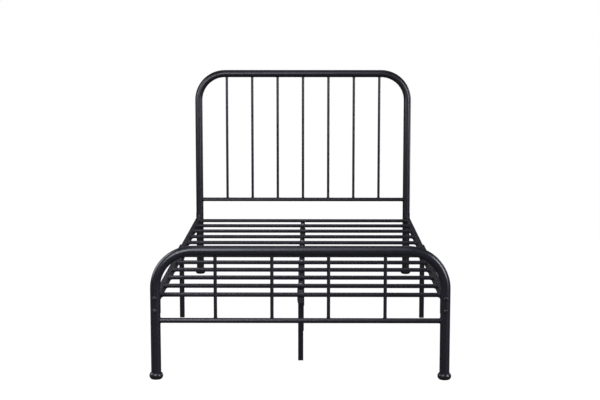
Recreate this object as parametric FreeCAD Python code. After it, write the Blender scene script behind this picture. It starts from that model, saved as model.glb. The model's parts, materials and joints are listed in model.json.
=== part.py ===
import FreeCAD, Part
import math
import os

# A twin-size steel bed frame: two bent-tube end boards, two side rails in halves,
# twelve tube slats and a centre bar on its own legs.
#
# Frame: the origin is on the floor under the middle of the bed. +X is to the right
# seen from the foot end, +Y points to the headboard and +Z is up. Millimetres.

V = FreeCAD.Vector
X_AXIS = V(1, 0, 0)
Y_AXIS = V(0, 1, 0)
Z_AXIS = V(0, 0, 1)
BOTH = (-1, 1)               # the left and right side, or the foot and head end
SIDES = (("left", -1), ("right", 1))
ENDS = (("front", -1), ("rear", 1))

# ---- overall layout ----
post_spacing = 1005.0        # across the bed, between the axes of a board's posts
board_spacing = 1955.0       # along the bed, between the two board planes
half_width = post_spacing / 2
half_length = board_spacing / 2

# ---- bent tubes of the end boards ----
board_tube_radius = 17.5
board_tube_wall = 1.5
head_top_height = 976.4      # axis of the top run
head_bend_radius = 127.0     # on the tube's axis
foot_top_height = 453.2
foot_bend_radius = 132.0
post_end_height = 16.0       # where the tube ends, inside its plastic foot

# ---- lower rails and spindles of the boards ----
lower_rail_radius = 9.0
lower_rail_wall = 1.2
head_rail_height = 366.0
foot_rail_height = 207.4
spindle_radius = 6.0
spindle_wall = 1.0
head_spindles = 7
head_spindle_pitch = 122.3
foot_spindles = 4
foot_spindle_pitch = 196.0

# ---- plastic feet under the posts ----
foot_base_radius = 18.0
foot_bulge_radius = 24.0
foot_bulge_height = 9.5
foot_lip_radius = 19.8
foot_height = 22.0
foot_plug_height = 46.0
plug_clearance = 0.2

# ---- side rails ----
rail_width = 20.0
rail_bottom = 251.5
rail_top = 281.5
rail_wall = 1.5
rail_edge_radius = 2.0
rail_inner_face = 498.0      # distance of the inner faces from the middle of the bed
rail_half_gap = 0.5          # half the gap between the two halves of a rail
rail_centre_height = (rail_bottom + rail_top) / 2

# ---- saddle brackets and bolts that join the rails to the posts ----
saddle_thickness = 3.0
saddle_height = 70.0
saddle_half_width = 17.7
saddle_depth = 8.75          # where its sides end, in from the plane of the board
post_bolt_offset = 22.0      # above and below the middle of the rail
post_bolt_radius = 4.0
post_bolt_head_radius = 7.0
post_bolt_head_height = 4.4
post_bolt_socket = 5.0       # across flats
post_nut_flats = 13.0
post_nut_thickness = 6.5
washer_radius = 8.5
washer_thickness = 1.6
bolt_hole_clearance = 0.3
bolt_end = 2.0               # thread that stands past a nut
head_dome = 0.6              # share of a bolt head's height taken by its dome and by its socket

# ---- slats ----
slat_count = 12
slat_pitch = 158.6
slat_width = 19.0
slat_height = 14.0
slat_edge_radius = 4.0
slat_wall = 1.2
slat_middle_height = 277.0
slat_top = slat_middle_height + slat_height / 2
slat_bottom = slat_middle_height - slat_height / 2

# ---- plastic caps on the ends of the slats ----
cap_length = 11.0
cap_wall = 1.6
cap_end_wall = 2.0
cap_peg_radius = 4.0
cap_peg_length = 6.0
cap_peg_clearance = 0.3
cap_peg_drop = 2.5           # from the rail's rounded edge down to the top of a peg

# ---- joiners in the middle of the side rails, with a leg under each ----
joiner_length = 290.0
joiner_thickness = 3.0
joiner_shelf = 7.0           # how far the bottom plate reaches inside the rail's inner face
joiner_bolt_places = (-118.0, -40.0, 40.0, 118.0)
small_bolt_radius = 3.0
small_head_radius = 5.25
small_head_height = 3.3
small_socket = 4.0           # across flats
small_nut_flats = 10.0
small_nut_thickness = 5.0

# ---- legs ----
leg_width = 19.0
leg_wall = 1.5
leg_edge_radius = 1.5
side_leg_place = 501.6
glide_height = 3.0
glide_plug_height = 18.0

# ---- centre bar ----
bar_width = 20.0
bar_top = slat_bottom
bar_bottom = 250.5
bar_wall = 1.5
bar_half_length = 884.0
bar_half_gap = 0.5
bar_insert_half_length = 100.0
bar_plug_flange = 3.0
bar_plug_length = 20.0
leg_slats = (1, 4, 7, 10)    # the slats that have a leg under them, from the foot end

# ---- forked brackets between the centre bar and its legs ----
fork_width = 25.0
fork_length = 60.0
fork_top = 263.5
fork_bottom = 223.5
fork_web = 2.0
fork_clearance = 0.1

# ---- modelling ----
cut_margin = 1.0             # how far a cutting shape runs past the face it opens
least_edge_radius = 0.4      # inside edges of thin tubes


# ------------------------------------------------------------------ shapes

def cylinder(base, axis, radius, length):
    return Part.makeCylinder(radius, length, base, axis)


def centred_cylinder(middle, axis, radius, length):
    return cylinder(middle - axis * (length / 2), axis, radius, length)


def round_tube(base, axis, radius, length, wall):
    outside = cylinder(base, axis, radius, length)
    return outside.cut(cylinder(base, axis, radius - wall, length))


def block(low, high):
    size = high - low
    return Part.makeBox(size.x, size.y, size.z, low)


def rounded_bar(low, high, axis, radius):
    """A block with the four edges that run along the axis rounded."""
    bar = block(low, high)
    long_edges = [edge for edge in bar.Edges if abs(edge.tangentAt(0).dot(axis)) > 0.99]
    return bar.makeFillet(radius, long_edges)


def box_tube(low, high, axis, wall, radius):
    """A rectangular tube with rounded edges, open at both ends."""
    inset = (V(1, 1, 1) - axis) * wall
    outside = rounded_bar(low, high, axis, radius)
    bore_radius = max(radius - wall, least_edge_radius)
    return outside.cut(rounded_bar(low + inset, high - inset, axis, bore_radius))


def hexagon(base, axis, flats, length):
    """A hexagonal prism with two of its flats parallel to the floor when its axis is level."""
    corner = flats / math.sqrt(3)
    level = Z_AXIS.cross(axis)
    if level.Length < 0.5:
        level = X_AXIS
    level.normalize()
    upward = axis.cross(level)
    points = []
    for step in range(7):
        turn = math.radians(60 * step)
        points.append(base + level * (corner * math.cos(turn)) + upward * (corner * math.sin(turn)))
    return Part.Face(Part.makePolygon(points)).extrude(axis * length)


def button_bolt(seat, axis, radius, head_radius, head_height, socket, length):
    """A socket button-head bolt: the head stands behind the seat, the shank runs along the axis."""
    head = cylinder(seat - axis * head_height, axis, head_radius, head_height)
    dome_edges = [edge for edge in head.Edges
                  if abs((edge.CenterOfMass - seat).dot(axis) + head_height) < 0.01]
    head = head.makeFillet(head_height * head_dome, dome_edges)
    recess = hexagon(seat - axis * head_height, axis, socket, head_height * head_dome)
    shank = cylinder(seat, axis, radius, length)
    return head.cut(recess).fuse(shank).removeSplitter()


def hex_nut(base, axis, flats, thickness, bore):
    return hexagon(base, axis, flats, thickness).cut(cylinder(base, axis, bore, thickness))


def group(solids):
    return Part.makeCompound(solids)


def post_place(side, end):
    return V(side * half_width, end * half_length, 0)


def slat_place(index):
    return (index - (slat_count - 1) / 2) * slat_pitch


# ------------------------------------------------------------------ end boards

def arch_sweep(place, top, bend, radius):
    """The solid of a tube's outline, swept up one post, across the top and down the other."""
    run = half_width - bend
    shoulder = top - bend
    diagonal = bend * math.sqrt(0.5)
    path = []
    corners = []
    for side in BOTH:
        foot = V(side * half_width, place, post_end_height)
        start = V(side * half_width, place, shoulder)
        middle = V(side * (run + diagonal), place, shoulder + diagonal)
        finish = V(side * run, place, top)
        corners.append((foot, start, middle, finish))
    left, right = corners
    path.append(Part.makeLine(left[0], left[1]))
    path.append(Part.Arc(left[1], left[2], left[3]).toShape())
    path.append(Part.makeLine(left[3], right[3]))
    path.append(Part.Arc(right[3], right[2], right[1]).toShape())
    path.append(Part.makeLine(right[1], right[0]))
    outline = Part.Wire(Part.makeCircle(radius, left[0], Z_AXIS))
    return Part.Wire(path).makePipeShell([outline], True, False)


def bolt_heights():
    return (rail_centre_height - post_bolt_offset, rail_centre_height + post_bolt_offset)


def board_arch(end, top, bend):
    """The bent tube of a board, drilled through each post for the rail bolts."""
    place = end * half_length
    arch = arch_sweep(place, top, bend, board_tube_radius)
    arch = arch.cut(arch_sweep(place, top, bend, board_tube_radius - board_tube_wall))
    for side in BOTH:
        for height in bolt_heights():
            hole = centred_cylinder(V(side * half_width, place, height), Y_AXIS,
                                    post_bolt_radius + bolt_hole_clearance,
                                    2 * (board_tube_radius + cut_margin))
            arch = arch.cut(hole)
    return arch


def board_lower_rail(end, height):
    """The level tube between the posts, with its ends coped to fit round them."""
    place = end * half_length
    rail = round_tube(V(-half_width, place, height), X_AXIS, lower_rail_radius,
                      post_spacing, lower_rail_wall)
    for side in BOTH:
        post = centred_cylinder(V(side * half_width, place, height), Z_AXIS, board_tube_radius,
                                2 * (lower_rail_radius + cut_margin))
        rail = rail.cut(post)
    return rail


def board_spindle(end, offset, rail_height, top):
    """An upright tube from the lower rail to the top run, coped at both ends."""
    place = end * half_length
    spindle = round_tube(V(offset, place, rail_height), Z_AXIS, spindle_radius,
                         top - rail_height, spindle_wall)
    reach = 2 * (spindle_radius + cut_margin)
    lower = centred_cylinder(V(offset, place, rail_height), X_AXIS, lower_rail_radius, reach)
    upper = centred_cylinder(V(offset, place, top), X_AXIS, board_tube_radius, reach)
    return spindle.cut(lower).cut(upper)


def spindle_offsets(count, pitch):
    return [(index - (count - 1) / 2) * pitch for index in range(count)]


def post_foot(side, end):
    """A moulded bun foot with a plug that fills the end of the post."""
    base = post_place(side, end)
    plug_radius = board_tube_radius - board_tube_wall - plug_clearance
    floor_edge = V(foot_base_radius, 0, 0)
    bulge = V(foot_bulge_radius, 0, foot_bulge_height)
    lip = V(foot_lip_radius, 0, foot_height)
    plug_low = V(plug_radius, 0, foot_height)
    plug_high = V(plug_radius, 0, foot_plug_height)
    outline = Part.Wire([
        Part.makeLine(V(0, 0, 0), floor_edge),
        Part.Arc(floor_edge, bulge, lip).toShape(),
        Part.makeLine(lip, plug_low),
        Part.makeLine(plug_low, plug_high),
        Part.makeLine(plug_high, V(0, 0, foot_plug_height)),
        Part.makeLine(V(0, 0, foot_plug_height), V(0, 0, 0)),
    ])
    foot = Part.Face(outline).revolve(V(0, 0, 0), Z_AXIS, 360)
    seat_depth = foot_height - post_end_height
    seat = cylinder(V(0, 0, post_end_height), Z_AXIS, board_tube_radius + plug_clearance, seat_depth)
    seat = seat.cut(cylinder(V(0, 0, post_end_height), Z_AXIS, plug_radius, seat_depth))
    foot = foot.cut(seat)
    foot.translate(base)
    return foot


# ------------------------------------------------------------------ side rails

def rail_end_bracket(side, end):
    """A saddle plate that hugs the inner side of a post and carries the rail's end."""
    axis_point = post_place(side, end) + Z_AXIS * (rail_centre_height - saddle_height / 2)
    outer_radius = board_tube_radius + saddle_thickness
    saddle = round_tube(axis_point, Z_AXIS, outer_radius, saddle_height, saddle_thickness)
    inward = -end
    y_low, y_high = sorted((inward * saddle_depth, inward * (outer_radius + cut_margin)))
    keep = block(axis_point + V(-saddle_half_width, y_low, 0),
                 axis_point + V(saddle_half_width, y_high, saddle_height))
    saddle = saddle.common(keep)
    for height in bolt_heights():
        start = V(side * half_width, end * half_length, height)
        hole = cylinder(start, Y_AXIS * inward, post_bolt_radius + bolt_hole_clearance,
                        2 * outer_radius)
        saddle = saddle.cut(hole)
    return saddle


def side_rail(side, end):
    """Half of a side rail: coped to its saddle at one end, cut square in mid-bed."""
    near = side * rail_inner_face
    far = side * (rail_inner_face + rail_width)
    x_low, x_high = sorted((near, far))
    y_low, y_high = sorted((end * rail_half_gap, end * half_length))
    rail = box_tube(V(x_low, y_low, rail_bottom), V(x_high, y_high, rail_top),
                    Y_AXIS, rail_wall, rail_edge_radius)
    post_round = centred_cylinder(post_place(side, end) + Z_AXIS * rail_centre_height, Z_AXIS,
                                  board_tube_radius + saddle_thickness,
                                  rail_top - rail_bottom + 2 * cut_margin)
    rail = rail.cut(post_round)
    for index in range(slat_count):
        place = slat_place(index)
        if place * end > 0:
            start = V(side * (rail_inner_face - cut_margin), place, rail_peg_height())
            hole = cylinder(start, X_AXIS * side, cap_peg_radius + cap_peg_clearance,
                            rail_wall + 2 * cut_margin)
            rail = rail.cut(hole)
    for place in joiner_bolt_places:
        if place * end > 0:
            start = V(side * (rail_inner_face - cut_margin), place, rail_centre_height)
            hole = cylinder(start, X_AXIS * side, small_bolt_radius + bolt_hole_clearance,
                            rail_width + 2 * cut_margin)
            rail = rail.cut(hole)
    return rail


def rail_peg_height():
    """The pegs sit a little under the slats' middle, clear of the rail's rounded top edge."""
    return rail_top - rail_edge_radius - cap_peg_drop - cap_peg_radius


def side_rail_joiner(side):
    """A bent plate round the outside of both rail halves, with a shelf for the middle leg."""
    inner = rail_inner_face - joiner_shelf
    rail_outer = rail_inner_face + rail_width
    outer = rail_outer + joiner_thickness
    half = joiner_length / 2

    def plate(near, far, bottom, top):
        x_low, x_high = sorted((side * near, side * far))
        return block(V(x_low, -half, bottom), V(x_high, half, top))

    shelf = plate(inner, outer, rail_bottom - joiner_thickness, rail_bottom)
    wall = plate(rail_outer, outer, rail_bottom, rail_top)
    lip = plate(rail_inner_face, outer, rail_top, rail_top + joiner_thickness)
    joiner = shelf.fuse(wall).fuse(lip).removeSplitter()
    for place in joiner_bolt_places:
        start = V(side * rail_inner_face, place, rail_centre_height)
        hole = cylinder(start, X_AXIS * side, small_bolt_radius + bolt_hole_clearance,
                        rail_width + joiner_thickness + cut_margin)
        joiner = joiner.cut(hole)
    return joiner


# ------------------------------------------------------------------ slats

def slat(index):
    place = slat_place(index)
    reach = rail_inner_face - cap_end_wall
    tube = box_tube(V(-reach, place - slat_width / 2, slat_bottom),
                    V(reach, place + slat_width / 2, slat_top),
                    X_AXIS, slat_wall, slat_edge_radius)
    if index in leg_slats:
        hole = centred_cylinder(V(0, place, slat_middle_height), Z_AXIS,
                                small_bolt_radius + bolt_hole_clearance,
                                slat_height + 2 * cut_margin)
        tube = tube.cut(hole)
    return tube


def slat_end_cap(side, index):
    """A moulded cap over the end of a slat, with a peg that snaps into the rail."""
    place = slat_place(index)
    mouth = side * (rail_inner_face - cap_length)
    seat = side * (rail_inner_face - cap_end_wall)
    face = side * rail_inner_face
    x_low, x_high = sorted((mouth, face))
    body = rounded_bar(V(x_low, place - slat_width / 2 - cap_wall, slat_bottom - cap_wall),
                       V(x_high, place + slat_width / 2 + cap_wall, slat_top + cap_wall),
                       X_AXIS, slat_edge_radius + cap_wall)
    x_low, x_high = sorted((mouth, seat))
    pocket = rounded_bar(V(x_low, place - slat_width / 2, slat_bottom),
                         V(x_high, place + slat_width / 2, slat_top),
                         X_AXIS, slat_edge_radius)
    peg = cylinder(V(face, place, rail_peg_height()), X_AXIS * side, cap_peg_radius, cap_peg_length)
    return body.cut(pocket).fuse(peg).removeSplitter()


# ------------------------------------------------------------------ legs and centre bar

def leg_tube(place, top):
    half = leg_width / 2
    return box_tube(place + V(-half, -half, glide_height), place + V(half, half, top),
                    Z_AXIS, leg_wall, leg_edge_radius)


def leg_glide(place):
    """A moulded plug that closes the bottom of a leg and stands on the floor."""
    half = leg_width / 2
    flange = rounded_bar(place + V(-half, -half, 0), place + V(half, half, glide_height),
                         Z_AXIS, leg_edge_radius)
    bore = half - leg_wall - plug_clearance
    plug = block(place + V(-bore, -bore, glide_height), place + V(bore, bore, glide_plug_height))
    return flange.fuse(plug).removeSplitter()


def centre_leg_places():
    return [V(0, slat_place(index), 0) for index in leg_slats]


def side_leg_point(side):
    return V(side * side_leg_place, 0, 0)


def centre_bar(end):
    """Half of the centre bar, drilled where its legs are bolted on."""
    y_low, y_high = sorted((end * bar_half_gap, end * bar_half_length))
    bar = box_tube(V(-bar_width / 2, y_low, bar_bottom), V(bar_width / 2, y_high, bar_top),
                   Y_AXIS, bar_wall, rail_edge_radius)
    for place in centre_leg_places():
        if place.y * end > 0:
            hole = cylinder(place + Z_AXIS * (bar_bottom - cut_margin), Z_AXIS,
                            small_bolt_radius + bolt_hole_clearance,
                            bar_top - bar_bottom + 2 * cut_margin)
            bar = bar.cut(hole)
    return bar


def centre_bar_insert():
    """The tube that slides into both halves of the centre bar and holds them in line."""
    inset = bar_wall + plug_clearance
    return box_tube(V(-bar_width / 2 + inset, -bar_insert_half_length, bar_bottom + inset),
                    V(bar_width / 2 - inset, bar_insert_half_length, bar_top - inset),
                    Y_AXIS, bar_wall, rail_edge_radius)


def centre_bar_end_plug(end):
    half = bar_width / 2
    inset = bar_wall + plug_clearance
    inner_end = end * (bar_half_length - bar_plug_length)
    mouth = end * bar_half_length
    outer_end = end * (bar_half_length + bar_plug_flange)
    y_low, y_high = sorted((mouth, outer_end))
    flange = rounded_bar(V(-half, y_low, bar_bottom), V(half, y_high, bar_top),
                         Y_AXIS, rail_edge_radius)
    y_low, y_high = sorted((inner_end, mouth))
    plug = block(V(-half + inset, y_low, bar_bottom + inset),
                 V(half - inset, y_high, bar_top - inset))
    return flange.fuse(plug).removeSplitter()


def centre_leg_bracket(place):
    """A fork that straddles the centre bar above a socket for the leg."""
    half_width_out = fork_width / 2
    half_bar = bar_width / 2 + fork_clearance
    half_leg = leg_width / 2 + fork_clearance
    half = fork_length / 2
    fork = block(place + V(-half_width_out, -half, bar_bottom - fork_web),
                 place + V(half_width_out, half, fork_top))
    passage = block(place + V(-half_bar, -half, bar_bottom), place + V(half_bar, half, fork_top))
    socket = block(place + V(-half_width_out, -half_width_out, fork_bottom),
                   place + V(half_width_out, half_width_out, bar_bottom - fork_web))
    leg_room = block(place + V(-half_leg, -half_leg, fork_bottom),
                     place + V(half_leg, half_leg, bar_bottom - fork_web))
    bracket = fork.cut(passage).fuse(socket.cut(leg_room)).removeSplitter()
    hole = cylinder(place + Z_AXIS * fork_bottom, Z_AXIS,
                    small_bolt_radius + bolt_hole_clearance, fork_top - fork_bottom)
    return bracket.cut(hole)


# ------------------------------------------------------------------ fasteners

def post_bolt_seats():
    """The outermost point of each post at each bolt, and the way in from there."""
    seats = []
    for side in BOTH:
        for end in BOTH:
            for height in bolt_heights():
                outside = V(side * half_width, end * (half_length + board_tube_radius), height)
                seats.append((outside, Y_AXIS * -end))
    return seats


def post_bolt_washer(seat, inward):
    """A washer with one face hollowed to sit on the round post."""
    disc = cylinder(seat - inward * washer_thickness, inward, washer_radius, 2 * washer_thickness)
    post_axis = seat + inward * board_tube_radius
    post = centred_cylinder(post_axis, Z_AXIS, board_tube_radius,
                            2 * (washer_radius + cut_margin))
    hole = centred_cylinder(seat, inward, post_bolt_radius + bolt_hole_clearance,
                            2 * (washer_thickness + cut_margin))
    return disc.cut(post).cut(hole)


def post_bolt(seat, inward):
    head_seat = seat - inward * washer_thickness
    grip = washer_thickness + 2 * board_tube_radius + saddle_thickness
    return button_bolt(head_seat, inward, post_bolt_radius, post_bolt_head_radius,
                       post_bolt_head_height, post_bolt_socket,
                       grip + post_nut_thickness + bolt_end)


def post_bolt_nut(seat, inward):
    base = seat + inward * (2 * board_tube_radius + saddle_thickness)
    return hex_nut(base, inward, post_nut_flats, post_nut_thickness, post_bolt_radius)


def joiner_bolt_seats():
    seats = []
    outer = rail_inner_face + rail_width + joiner_thickness
    for side in BOTH:
        for place in joiner_bolt_places:
            seats.append((V(side * outer, place, rail_centre_height), X_AXIS * -side))
    return seats


def joiner_bolt(seat, inward):
    grip = rail_width + joiner_thickness
    return button_bolt(seat, inward, small_bolt_radius, small_head_radius, small_head_height,
                       small_socket, grip + small_nut_thickness + bolt_end)


def joiner_nut(seat, inward):
    base = seat + inward * (rail_width + joiner_thickness)
    return hex_nut(base, inward, small_nut_flats, small_nut_thickness, small_bolt_radius)


def centre_leg_bolt(place):
    web_bottom = bar_bottom - fork_web
    length = slat_top - web_bottom + small_nut_thickness + bolt_end
    return button_bolt(place + Z_AXIS * slat_top, -Z_AXIS, small_bolt_radius, small_head_radius,
                       small_head_height, small_socket, length)


def centre_leg_nut(place):
    base = place + Z_AXIS * (bar_bottom - fork_web)
    return hex_nut(base, -Z_AXIS, small_nut_flats, small_nut_thickness, small_bolt_radius)


# ------------------------------------------------------------------ assembly

def build_nodes():
    nodes = {}
    nodes["headboard_arch"] = board_arch(1, head_top_height, head_bend_radius)
    nodes["headboard_lower_rail"] = board_lower_rail(1, head_rail_height)
    for number, offset in enumerate(spindle_offsets(head_spindles, head_spindle_pitch), 1):
        name = "headboard_spindle_%d" % number
        nodes[name] = board_spindle(1, offset, head_rail_height, head_top_height)
    nodes["footboard_arch"] = board_arch(-1, foot_top_height, foot_bend_radius)
    nodes["footboard_lower_rail"] = board_lower_rail(-1, foot_rail_height)
    for number, offset in enumerate(spindle_offsets(foot_spindles, foot_spindle_pitch), 1):
        name = "footboard_spindle_%d" % number
        nodes[name] = board_spindle(-1, offset, foot_rail_height, foot_top_height)

    brackets = []
    for side_name, side in SIDES:
        for end_name, end in ENDS:
            nodes["post_foot_%s_%s" % (end_name, side_name)] = post_foot(side, end)
            nodes["side_rail_%s_%s" % (end_name, side_name)] = side_rail(side, end)
            brackets.append(rail_end_bracket(side, end))
        nodes["side_rail_joiner_%s" % side_name] = side_rail_joiner(side)
        nodes["side_leg_%s" % side_name] = leg_tube(side_leg_point(side),
                                                    rail_bottom - joiner_thickness)
        caps = [slat_end_cap(side, index) for index in range(slat_count)]
        nodes["slat_end_caps_%s" % side_name] = group(caps)
    nodes["rail_end_brackets"] = group(brackets)

    for index in range(slat_count):
        nodes["slat_%02d" % (index + 1)] = slat(index)

    nodes["centre_bar_front"] = centre_bar(-1)
    nodes["centre_bar_rear"] = centre_bar(1)
    nodes["centre_bar_insert"] = centre_bar_insert()
    nodes["centre_bar_end_plugs"] = group([centre_bar_end_plug(end) for end in BOTH])
    for number, place in enumerate(centre_leg_places(), 1):
        nodes["centre_leg_%d" % number] = leg_tube(place, bar_bottom - fork_web)
    nodes["centre_leg_brackets"] = group([centre_leg_bracket(place) for place in centre_leg_places()])
    leg_places = centre_leg_places() + [side_leg_point(side) for side in BOTH]
    nodes["leg_glides"] = group([leg_glide(place) for place in leg_places])

    nodes["post_bolts"] = group([post_bolt(*seat) for seat in post_bolt_seats()])
    nodes["post_bolt_washers"] = group([post_bolt_washer(*seat) for seat in post_bolt_seats()])
    nodes["post_bolt_nuts"] = group([post_bolt_nut(*seat) for seat in post_bolt_seats()])
    nodes["rail_joiner_bolts"] = group([joiner_bolt(*seat) for seat in joiner_bolt_seats()])
    nodes["rail_joiner_nuts"] = group([joiner_nut(*seat) for seat in joiner_bolt_seats()])
    nodes["centre_leg_bolts"] = group([centre_leg_bolt(place) for place in centre_leg_places()])
    nodes["centre_leg_nuts"] = group([centre_leg_nut(place) for place in centre_leg_places()])
    return nodes


os.makedirs("parts", exist_ok=True)
for node, shape in build_nodes().items():
    solids = shape.Solids
    sound = all(solid.isValid() and solid.Volume > 0 for solid in solids)
    print("%-26s solids %2d  volume %10.1f  %s" % (node, len(solids), shape.Volume,
                                                  "ok" if sound else "BAD"))
    shape.exportStep("parts/%s.step" % node)
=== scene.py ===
"""The looks of a steel bed frame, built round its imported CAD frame. Metres, +Z up, foot end at -Y."""
import json
import math

import bmesh
import bpy
from mathutils import Euler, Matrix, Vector


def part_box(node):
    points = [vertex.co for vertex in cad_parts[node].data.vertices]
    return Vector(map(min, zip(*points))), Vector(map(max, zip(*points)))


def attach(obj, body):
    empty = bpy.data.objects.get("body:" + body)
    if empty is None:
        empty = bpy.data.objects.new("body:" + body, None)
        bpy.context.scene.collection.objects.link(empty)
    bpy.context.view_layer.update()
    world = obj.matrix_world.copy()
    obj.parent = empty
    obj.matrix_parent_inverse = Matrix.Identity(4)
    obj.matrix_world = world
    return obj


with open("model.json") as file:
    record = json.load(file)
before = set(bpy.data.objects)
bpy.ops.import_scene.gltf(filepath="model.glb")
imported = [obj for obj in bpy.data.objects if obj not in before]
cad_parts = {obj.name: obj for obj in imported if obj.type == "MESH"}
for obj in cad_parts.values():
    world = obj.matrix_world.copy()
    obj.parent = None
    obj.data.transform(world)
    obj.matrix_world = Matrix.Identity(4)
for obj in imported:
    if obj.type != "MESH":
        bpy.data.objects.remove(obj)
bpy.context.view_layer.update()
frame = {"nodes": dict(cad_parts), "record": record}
nodes = frame["nodes"]
scene = bpy.context.scene

MM = 0.001


# ------------------------------------------------------------------ materials

def new_material(name):
    material = bpy.data.materials.new(name)
    material.use_nodes = True
    tree = material.node_tree
    return material, tree, tree.nodes["Principled BSDF"]


def noise(tree, scale, detail=2.0, roughness=0.5):
    """A noise pattern in the object's own metres: scale is about the number of lumps per metre."""
    place = tree.nodes.get("Place") or tree.nodes.new("ShaderNodeTexCoord")
    place.name = "Place"
    pattern = tree.nodes.new("ShaderNodeTexNoise")
    pattern.inputs["Scale"].default_value = scale
    pattern.inputs["Detail"].default_value = detail
    pattern.inputs["Roughness"].default_value = roughness
    tree.links.new(place.outputs["Object"], pattern.inputs["Vector"])
    return pattern.outputs["Fac"]


def spread(tree, value, low, high):
    """Maps the middle of a noise pattern onto low..high."""
    ramp = tree.nodes.new("ShaderNodeMapRange")
    ramp.inputs["From Min"].default_value = 0.3
    ramp.inputs["From Max"].default_value = 0.7
    ramp.inputs["To Min"].default_value = low
    ramp.inputs["To Max"].default_value = high
    tree.links.new(value, ramp.inputs["Value"])
    return ramp.outputs["Result"]


def shade_between(tree, value, dark, light):
    mix = tree.nodes.new("ShaderNodeMix")
    mix.data_type = "RGBA"
    mix.inputs["A"].default_value = (*dark, 1)
    mix.inputs["B"].default_value = (*light, 1)
    tree.links.new(value, mix.inputs["Factor"])
    return mix.outputs["Result"]


def bump(tree, height, depth, under=None):
    """Relief of that depth in metres, on top of the relief under it."""
    relief = tree.nodes.new("ShaderNodeBump")
    relief.inputs["Strength"].default_value = 1.0
    relief.inputs["Distance"].default_value = depth
    tree.links.new(height, relief.inputs["Height"])
    if under is not None:
        tree.links.new(under, relief.inputs["Normal"])
    return relief.outputs["Normal"]


def powder_coat():
    """Satin black powder coat: fine orange peel over long, faint unevenness of the film."""
    material, tree, shader = new_material("powder_coat")
    tone = shade_between(tree, noise(tree, 45, 3.0), (0.0080, 0.0080, 0.0106), (0.0112, 0.0112, 0.0148))
    tree.links.new(tone, shader.inputs["Base Color"])
    tree.links.new(spread(tree, noise(tree, 60, 2.0), 0.285, 0.325), shader.inputs["Roughness"])
    waves = bump(tree, noise(tree, 55, 1.0), 0.000035)
    peel = bump(tree, noise(tree, 480, 1.0), 0.000010, waves)
    tree.links.new(peel, shader.inputs["Normal"])
    shader.inputs["Specular IOR Level"].default_value = 0.5
    return material


def moulded_plastic(name, dark, light, rough_low, rough_high, grain, depth):
    """Moulded black plastic with a fine sparked grain."""
    material, tree, shader = new_material(name)
    tree.links.new(shade_between(tree, noise(tree, 60, 3.0), dark, light), shader.inputs["Base Color"])
    tree.links.new(spread(tree, noise(tree, grain * 0.6), rough_low, rough_high),
                   shader.inputs["Roughness"])
    tree.links.new(bump(tree, noise(tree, grain, 3.0), depth), shader.inputs["Normal"])
    return material


def plated_steel(name, dark, light):
    """Zinc plating: metal with fine turning marks and uneven sheen."""
    material, tree, shader = new_material(name)
    tree.links.new(shade_between(tree, noise(tree, 250, 3.0), dark, light), shader.inputs["Base Color"])
    tree.links.new(spread(tree, noise(tree, 700), 0.33, 0.45), shader.inputs["Roughness"])
    tree.links.new(bump(tree, noise(tree, 2500, 2.0), 0.00002), shader.inputs["Normal"])
    shader.inputs["Metallic"].default_value = 1.0
    return material


materials = {
    "powder_coat": powder_coat(),
    "cap_plastic": moulded_plastic("cap_plastic", (0.006, 0.006, 0.0066), (0.010, 0.010, 0.011),
                                   0.48, 0.62, 1500, 0.00003),
    "foot_plastic": moulded_plastic("foot_plastic", (0.006, 0.006, 0.007), (0.010, 0.010, 0.0115),
                                    0.28, 0.36, 1100, 0.00001),
    "fastener_steel": plated_steel("fastener_steel", (0.26, 0.26, 0.264), (0.42, 0.42, 0.425)),
    "fastener_black": plated_steel("fastener_black", (0.06, 0.06, 0.064), (0.10, 0.10, 0.106)),
}
finishes = {part["node"]: part["material_slot"] for part in frame["record"]["subparts"]}
black_fasteners = ("post_bolts", "post_bolt_washers", "post_bolt_nuts",
                   "rail_joiner_bolts", "rail_joiner_nuts")
for name in black_fasteners:
    finishes[name] = "fastener_black"
for name, node in nodes.items():
    node.data.materials.clear()
    node.data.materials.append(materials[finishes[name]])


# ------------------------------------------------------------------ welds

SIDES = {"left": -1, "right": 1}
BEAD_SIDES = 10                 # points round a bead's section
BEAD_SPACING = 1.6 * MM         # between the points along a bead's straight stretches
SPINDLE_BEAD = 1.5 * MM         # radii of the beads' sections
LOWER_RAIL_BEAD = 1.8 * MM
SADDLE_BEAD = 1.6 * MM
LEG_BEAD = 1.6 * MM
SADDLE_THICKNESS = 3 * MM       # the saddle plate between a post and the end of a side rail
SIDE_RAIL_CORNER = 2 * MM       # outer corner radii of the square tubes
LEG_CORNER = 1.5 * MM


def bead_ring(mesh, path, outward, radius):
    """A closed weld bead along a ring of points, with the faint ripples of its passes."""
    count = len(path)
    rings = []
    for index, point in enumerate(path):
        along = (path[(index + 1) % count] - path[index - 1]).normalized()
        away = (outward[index] - along * outward[index].dot(along)).normalized()
        across = along.cross(away)
        swell = radius * (1 + 0.10 * math.sin(2.3 * index) + 0.06 * math.sin(0.71 * index + 1))
        ring = []
        for step in range(BEAD_SIDES):
            turn = 2 * math.pi * step / BEAD_SIDES
            offset = away * math.cos(turn) + across * math.sin(turn)
            ring.append(mesh.verts.new(point + offset * swell))
        rings.append(ring)
    for index, ring in enumerate(rings):
        following = rings[(index + 1) % count]
        for step in range(BEAD_SIDES):
            after = (step + 1) % BEAD_SIDES
            mesh.faces.new((ring[step], ring[after], following[after], following[step]))


def turned(count, radius):
    """(cosine, sine) of the points of a circle, times its radius."""
    for step in range(count):
        turn = 2 * math.pi * step / count
        yield radius * math.cos(turn), radius * math.sin(turn)


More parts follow.
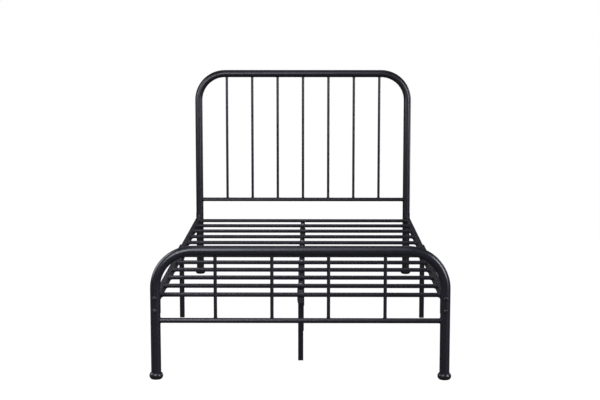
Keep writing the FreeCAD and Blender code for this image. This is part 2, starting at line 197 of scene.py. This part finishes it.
def bead_on_level_tube(mesh, upright, tube_height, tube_radius, spindle_radius, upward):
    """Round a spindle where it meets a level tube under it (upward 1) or over it (-1)."""
    path, outward = [], []
    for x, y in turned(36, spindle_radius):
        height = tube_height + upward * math.sqrt(tube_radius ** 2 - y ** 2)
        path.append(Vector((upright[0] + x, upright[1] + y, height)))
        outward.append(Vector((x, y, upward * spindle_radius)))
    bead_ring(mesh, path, outward, SPINDLE_BEAD)


def bead_on_post(mesh, post, post_radius, height, rail_radius, inward):
    """Round the end of a lower rail where it meets a post."""
    path, outward = [], []
    for y, z in turned(48, rail_radius):
        x = post[0] + inward * math.sqrt(post_radius ** 2 - y ** 2)
        path.append(Vector((x, post[1] + y, height + z)))
        outward.append(Vector((inward * rail_radius, y, z)))
    bead_ring(mesh, path, outward, LOWER_RAIL_BEAD)


def rounded_square(low_a, high_a, low_b, high_b, radius, steps=6):
    """Points round a rectangle with rounded corners, with the way out at each."""
    points = []
    for side_a, side_b, start in ((1, 1, 0), (-1, 1, 90), (-1, -1, 180), (1, -1, 270)):
        corner_a = (high_a if side_a > 0 else low_a) - side_a * radius
        corner_b = (high_b if side_b > 0 else low_b) - side_b * radius
        for step in range(steps + 1):
            turn = math.radians(start + 90 * step / steps)
            way = (math.cos(turn), math.sin(turn))
            points.append((corner_a + radius * way[0], corner_b + radius * way[1], way))
    filled = []
    for index, point in enumerate(points):
        following = points[(index + 1) % len(points)]
        gap = math.hypot(following[0] - point[0], following[1] - point[1])
        parts = max(1, round(gap / BEAD_SPACING))
        for part in range(parts):
            share = part / parts
            filled.append((point[0] + (following[0] - point[0]) * share,
                           point[1] + (following[1] - point[1]) * share, point[2]))
    return filled


def bead_on_saddle(mesh, rail_low, rail_high, post, saddle_radius, inward):
    """Round the coped end of a side rail on its saddle."""
    path, outward = [], []
    corners = (rail_low.x, rail_high.x, rail_low.z, rail_high.z)
    for x, z, way in rounded_square(*corners, SIDE_RAIL_CORNER):
        y = post[1] + inward * math.sqrt(saddle_radius ** 2 - (x - post[0]) ** 2)
        path.append(Vector((x, y, z)))
        outward.append(Vector((way[0], inward, way[1])))
    bead_ring(mesh, path, outward, SADDLE_BEAD)


def bead_round_leg(mesh, leg_low, leg_high, height):
    """Round the square top of a leg, in the corner under the plate that it is welded to."""
    path, outward = [], []
    corners = (leg_low.x, leg_high.x, leg_low.y, leg_high.y)
    for x, y, way in rounded_square(*corners, LEG_CORNER):
        path.append(Vector((x, y, height)))
        outward.append(Vector((way[0], way[1], -1)))
    bead_ring(mesh, path, outward, LEG_BEAD)


def weld_piece(name, mesh):
    bmesh.ops.recalc_face_normals(mesh, faces=mesh.faces)
    data = bpy.data.meshes.new(name)
    mesh.to_mesh(data)
    mesh.free()
    data.polygons.foreach_set("use_smooth", [True] * len(data.polygons))
    piece = bpy.data.objects.new(name, data)
    scene.collection.objects.link(piece)
    data.materials.append(materials["powder_coat"])
    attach(piece, "root")


def board_welds(board, spindles):
    """The beads of one end board: both ends of each spindle and of the lower rail."""
    mesh = bmesh.new()
    arch_low, arch_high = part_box(board + "_arch")
    rail_low, rail_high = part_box(board + "_lower_rail")
    tube_radius = (arch_high.y - arch_low.y) / 2
    rail_radius = (rail_high.y - rail_low.y) / 2
    rail_height = (rail_low.z + rail_high.z) / 2
    top_height = arch_high.z - tube_radius
    plane = (arch_low.y + arch_high.y) / 2
    for number in range(1, spindles + 1):
        low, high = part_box("%s_spindle_%d" % (board, number))
        upright = ((low.x + high.x) / 2, plane)
        radius = (high.x - low.x) / 2
        bead_on_level_tube(mesh, upright, rail_height, rail_radius, radius, 1)
        bead_on_level_tube(mesh, upright, top_height, tube_radius, radius, -1)
    for side in SIDES.values():
        post = (side * (arch_high.x - tube_radius), plane)
        bead_on_post(mesh, post, tube_radius, rail_height, rail_radius, -side)
    weld_piece(board + "_welds", mesh)


def rail_welds():
    mesh = bmesh.new()
    for end, board in (("front", "footboard_arch"), ("rear", "headboard_arch")):
        arch_low, arch_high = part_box(board)
        tube_radius = (arch_high.y - arch_low.y) / 2
        plane = (arch_low.y + arch_high.y) / 2
        inward = 1 if end == "front" else -1
        for side_name, side in SIDES.items():
            low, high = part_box("side_rail_%s_%s" % (end, side_name))
            post = (side * (arch_high.x - tube_radius), plane)
            bead_on_saddle(mesh, low, high, post, tube_radius + SADDLE_THICKNESS, inward)
    weld_piece("side_rail_welds", mesh)


def leg_welds():
    mesh = bmesh.new()
    bracket_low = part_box("centre_leg_brackets")[0]
    for node in ("side_leg_left", "side_leg_right"):
        low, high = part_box(node)
        bead_round_leg(mesh, low, high, high.z)
    for number in range(1, 5):
        low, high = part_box("centre_leg_%d" % number)
        bead_round_leg(mesh, low, high, bracket_low.z)
    weld_piece("leg_welds", mesh)


board_welds("headboard", 7)
board_welds("footboard", 4)
rail_welds()
leg_welds()


# ------------------------------------------------------------------ floor, light and camera

COOL_WHITE = (0.97, 0.975, 1.10)
AMBIENT = 0.065                 # strength of the light from all round
FLOOR_SIZE = 60
FLOOR_DROP = 0.4 * MM           # keeps the floor just clear of the feet


def shown_and_lit(tree, shown, other):
    """One shader for what the camera sees straight on, another for the light that reaches the bed."""
    path = tree.nodes.new("ShaderNodeLightPath")
    mix = tree.nodes.new("ShaderNodeMixShader")
    tree.links.new(path.outputs["Is Camera Ray"], mix.inputs[0])
    tree.links.new(other, mix.inputs[1])
    tree.links.new(shown, mix.inputs[2])
    return mix.outputs[0]


def studio_world():
    world = bpy.data.worlds.new("studio")
    world.use_nodes = True
    tree = world.node_tree
    backdrop = tree.nodes["Background"]
    backdrop.inputs["Color"].default_value = (1, 1, 1, 1)
    backdrop.inputs["Strength"].default_value = 1.0
    ambient = tree.nodes.new("ShaderNodeBackground")
    ambient.inputs["Color"].default_value = (*COOL_WHITE, 1)
    ambient.inputs["Strength"].default_value = AMBIENT
    output = tree.nodes["World Output"]
    tree.links.new(shown_and_lit(tree, backdrop.outputs[0], ambient.outputs[0]),
                   output.inputs["Surface"])
    scene.world = world


def studio_floor():
    """A wide pale floor just under the feet."""
    bpy.ops.mesh.primitive_plane_add(size=FLOOR_SIZE, location=(0, 0, -FLOOR_DROP))
    floor = bpy.context.object
    floor.name = "studio_floor"
    material, tree, shader = new_material("studio_floor")
    shader.inputs["Base Color"].default_value = (0.09, 0.09, 0.09, 1)
    shader.inputs["Roughness"].default_value = 0.9
    white = tree.nodes.new("ShaderNodeEmission")
    white.inputs["Color"].default_value = (1, 1, 1, 1)
    white.inputs["Strength"].default_value = 1.0
    soft = tree.nodes.new("ShaderNodeBsdfDiffuse")
    soft.inputs["Color"].default_value = (0.03, 0.03, 0.03, 1)
    both = tree.nodes.new("ShaderNodeAddShader")
    tree.links.new(white.outputs[0], both.inputs[0])
    tree.links.new(soft.outputs[0], both.inputs[1])
    output = tree.nodes["Material Output"]
    tree.links.new(shown_and_lit(tree, both.outputs[0], shader.outputs[0]), output.inputs["Surface"])
    floor.data.materials.append(material)


def softbox(name, azimuth, elevation, distance, width, height, power, aim=(0, 0, 0.4)):
    """A soft rectangular light. Azimuth 0 is in front of the foot end, positive to the right."""
    turn, lift = math.radians(azimuth), math.radians(elevation)
    away = Vector((math.sin(turn) * math.cos(lift), -math.cos(turn) * math.cos(lift), math.sin(lift)))
    data = bpy.data.lights.new(name, "AREA")
    data.shape = "RECTANGLE"
    data.size, data.size_y = width, height
    data.energy = power
    data.color = COOL_WHITE
    light = bpy.data.objects.new(name, data)
    light.location = Vector(aim) + away * distance
    light.rotation_euler = (-away).to_track_quat("-Z", "Y").to_euler()
    light.visible_camera = False
    scene.collection.objects.link(light)


def studio_lights():
    # name, azimuth, elevation, distance, width, height, power in watts
    softbox("softbox_left", -19.5, 18.6, 2.9, 1.3, 1.0, 31)
    softbox("softbox_right", 50, 15, 4.2, 0.6, 2.1, 92)
    softbox("softbox_front", -3, 44, 3.8, 1.2, 3.8, 29)
    softbox("softbox_side_left", -80, 24, 2.6, 1.5, 1.8, 38)
    softbox("softbox_side_right", 123, 9, 2.8, 1.2, 1.3, 18)
    softbox("strip_back", 189, 28, 4.8, 3.0, 0.3, 6)
    softbox("softbox_high_back", 180, 62, 3.5, 2.2, 1.6, 7)


def studio_camera():
    """A long lens in front of the foot end, a little above the headboard and tilted down."""
    foot_low, foot_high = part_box("footboard_arch")
    board_plane = (foot_low.y + foot_high.y) / 2
    distance, height, aside = 4.654, 1.2648, 0.0323
    tilt, turn = 7.770, 0.406
    data = bpy.data.cameras.new("camera")
    data.sensor_width = 36
    data.lens = 82.2
    camera = bpy.data.objects.new("camera", data)
    camera.location = (aside, board_plane - distance, height)
    camera.rotation_euler = Euler((math.radians(90 - tilt), 0, math.radians(turn)))
    scene.collection.objects.link(camera)
    scene.camera = camera


studio_world()
studio_floor()
studio_lights()
studio_camera()
scene.view_settings.view_transform = "Standard"
